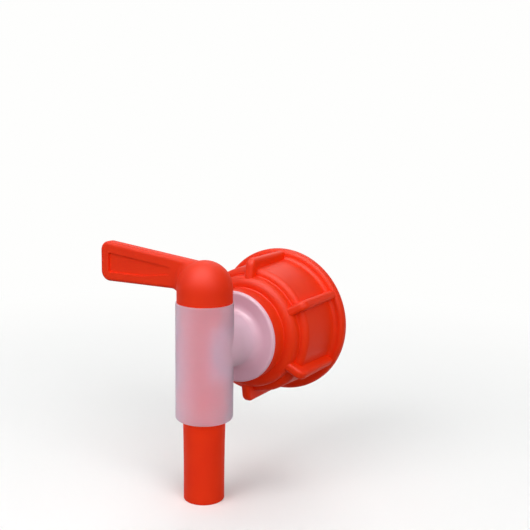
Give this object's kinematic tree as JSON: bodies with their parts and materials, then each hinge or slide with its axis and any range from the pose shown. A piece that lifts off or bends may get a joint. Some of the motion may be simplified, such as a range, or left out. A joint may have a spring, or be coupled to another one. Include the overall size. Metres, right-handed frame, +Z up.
{
  "type": "jerrycan tap",
  "caption": "Plastic turn-cock tap for a liquid can: ribbed screw cap, translucent barrel, and a red plug with lever and downward spout that opens by a quarter turn.",
  "frame": {"origin": "centre of the washer's rear face, on the inlet's axis, where the can's neck presses", "axes": "+Y along the inlet into the can, +Z up the barrel, and the closed lever points to -X"},
  "size_m": [0.0986, 0.0882, 0.1208],
  "materials": {
    "natural_polyethylene": "translucent, satin, as moulded",
    "red_plug_polyethylene": "satin, as moulded",
    "red_cap_polyethylene": "satin, as moulded",
    "gasket_rubber": "matt"
  },
  "bodies": {
    "body": {"valve_body": "natural_polyethylene", "neck_gasket": "gasket_rubber"},
    "plug": {"spout_plug": "red_plug_polyethylene"},
    "cap": {"screw_cap": "red_cap_polyethylene"}
  },
  "joints": [
    {"name": "lever_turn", "type": "hinge", "parent": "body", "child": "plug", "pos_m": [0, -0.0436, 0], "axis": [0, 0, 1], "range_deg": [0, 90]},
    {"name": "cap_turn", "type": "hinge", "parent": "body", "child": "cap", "pos_m": [0, 0, 0], "axis": [0, 1, 0], "continuous": true}
  ]
}
